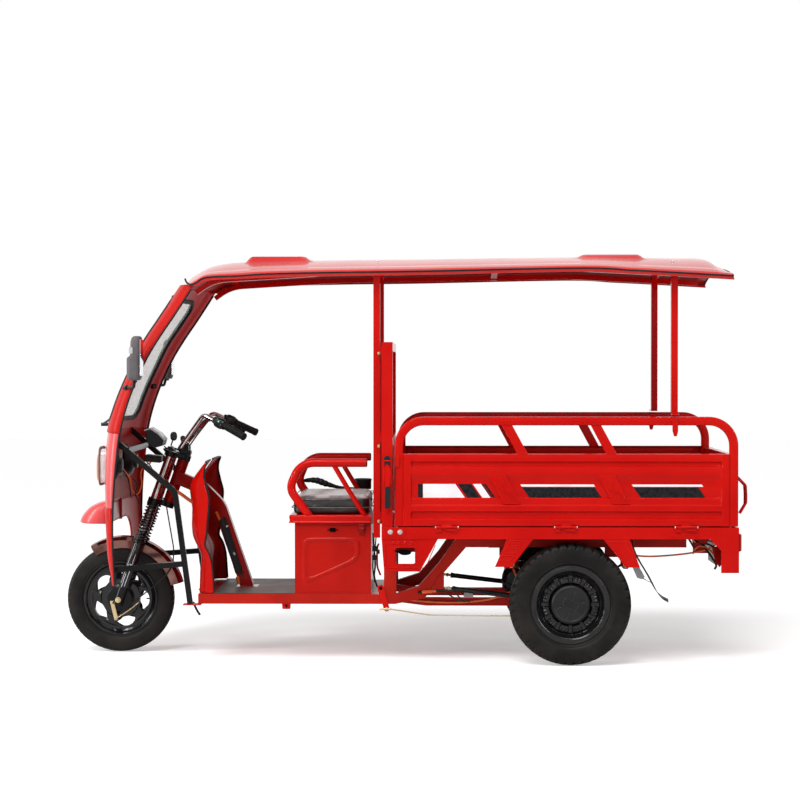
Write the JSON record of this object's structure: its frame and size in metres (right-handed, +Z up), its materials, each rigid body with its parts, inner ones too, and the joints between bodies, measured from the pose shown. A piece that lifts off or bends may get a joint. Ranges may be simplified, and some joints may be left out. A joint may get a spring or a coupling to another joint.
{
  "type": "roofed electric cargo tricycle",
  "caption": "Roofed three-wheeled electric cargo tricycle with steered front fork, cowl and windscreen, rider bench and hinged drop-side cargo bed.",
  "frame": {"origin": "on the ground below the middle of the bounding box", "axes": "-X is the direction of travel, +Z is up, -Y is the rider's left"},
  "size_m": [3.11, 1.322, 1.843],
  "materials": {
    "red_paint": "gloss",
    "dark_red_paint": "gloss",
    "black_paint": "satin",
    "chrome_plate": "polished",
    "zinc_steel": "plated",
    "tyre_rubber": "matt",
    "soft_rubber": "matt",
    "black_plastic": "grained",
    "black_vinyl": "semi-gloss",
    "clear_glass": "clear",
    "lamp_lens": "clear",
    "red_lens": "gloss",
    "orange_rubber": "matt",
    "plate_metal": "satin"
  },
  "bodies": {
    "chassis": {"frame": "red_paint", "floor_mat": "soft_rubber", "down_tube": "dark_red_paint", "cable_channel": "black_plastic", "leg_shield": "red_paint", "cowl_frame": "black_paint", "cowl": "red_paint", "windscreen": "clear_glass", "wiper": "black_plastic", "seat_box": "red_paint", "hand_brake": "black_paint", "bed": "red_paint", "headboard": "red_paint", "roof_panel": "red_paint", "roof_frame": "red_paint", "rear_axle": "black_paint", "motor": "black_paint", "motor_cable": "orange_rubber", "tail_cable": "orange_rubber", "brake_linkage": "zinc_steel", "number_plate": "plate_metal", "headlamp_left": "lamp_lens", "headlamp_right": "lamp_lens", "mirror_left": "black_plastic", "mirror_right": "black_plastic", "leaf_spring_left": "black_paint", "leaf_spring_right": "black_paint", "push_rod_left": "black_paint", "push_rod_right": "black_paint", "mudflap_left": "soft_rubber", "mudflap_right": "soft_rubber", "tail_lamp_left": "red_lens", "tail_lamp_right": "red_lens"},
    "steering": {"fork": "black_paint", "brake_cable": "soft_rubber", "front_mudguard": "chrome_plate", "handlebar": "chrome_plate", "bar_clamp": "black_plastic", "instrument": "black_plastic", "fork_spring_left": "black_paint", "fork_spring_right": "black_paint", "grip_left": "soft_rubber", "grip_right": "soft_rubber", "control_left": "black_plastic", "control_right": "black_plastic"},
    "front_wheel": {"front_rim": "black_paint", "front_tyre": "tyre_rubber"},
    "rear_wheel_left": {"rear_rim_left": "black_paint", "rear_tyre_left": "tyre_rubber", "hub_cap_left": "black_plastic"},
    "rear_wheel_right": {"rear_rim_right": "black_paint", "rear_tyre_right": "tyre_rubber", "hub_cap_right": "black_plastic"},
    "side_gate_left": {"side_gate_left": "red_paint"},
    "side_gate_right": {"side_gate_right": "red_paint"},
    "tailgate": {"tailgate": "red_paint"},
    "seat_lid": {"seat_lid": "red_paint", "cushion": "black_vinyl", "armrest_left": "red_paint", "armrest_right": "red_paint"}
  },
  "joints": [
    {"name": "steer", "type": "hinge", "parent": "chassis", "child": "steering", "pos_m": [-1.24848, 0, 0.22987], "axis": [0.3355, 0, 0.9421], "range_deg": [-36, 36]},
    {"name": "front_wheel_spin", "type": "hinge", "parent": "steering", "child": "front_wheel", "pos_m": [-1.305, 0, 0.25], "axis": [0, -1, 0], "continuous": true},
    {"name": "rear_wheel_left_spin", "type": "hinge", "parent": "chassis", "child": "rear_wheel_left", "pos_m": [0.765, -0.463, 0.272], "axis": [0, -1, 0], "continuous": true},
    {"name": "rear_wheel_right_spin", "type": "hinge", "parent": "chassis", "child": "rear_wheel_right", "pos_m": [0.765, 0.463, 0.272], "axis": [0, -1, 0], "continuous": true},
    {"name": "side_gate_left_drop", "type": "hinge", "parent": "chassis", "child": "side_gate_left", "pos_m": [0, -0.532, 0.619], "axis": [1, 0, 0], "range_deg": [0, 172]},
    {"name": "side_gate_right_drop", "type": "hinge", "parent": "chassis", "child": "side_gate_right", "pos_m": [0, 0.532, 0.619], "axis": [-1, 0, 0], "range_deg": [0, 172]},
    {"name": "tailgate_drop", "type": "hinge", "parent": "chassis", "child": "tailgate", "pos_m": [1.516, 0, 0.619], "axis": [0, 1, 0], "range_deg": [0, 90]},
    {"name": "seat_lid_tip", "type": "hinge", "parent": "chassis", "child": "seat_lid", "pos_m": [-0.491, 0, 0.6273], "axis": [0, -1, 0], "range_deg": [0, 60]}
  ]
}
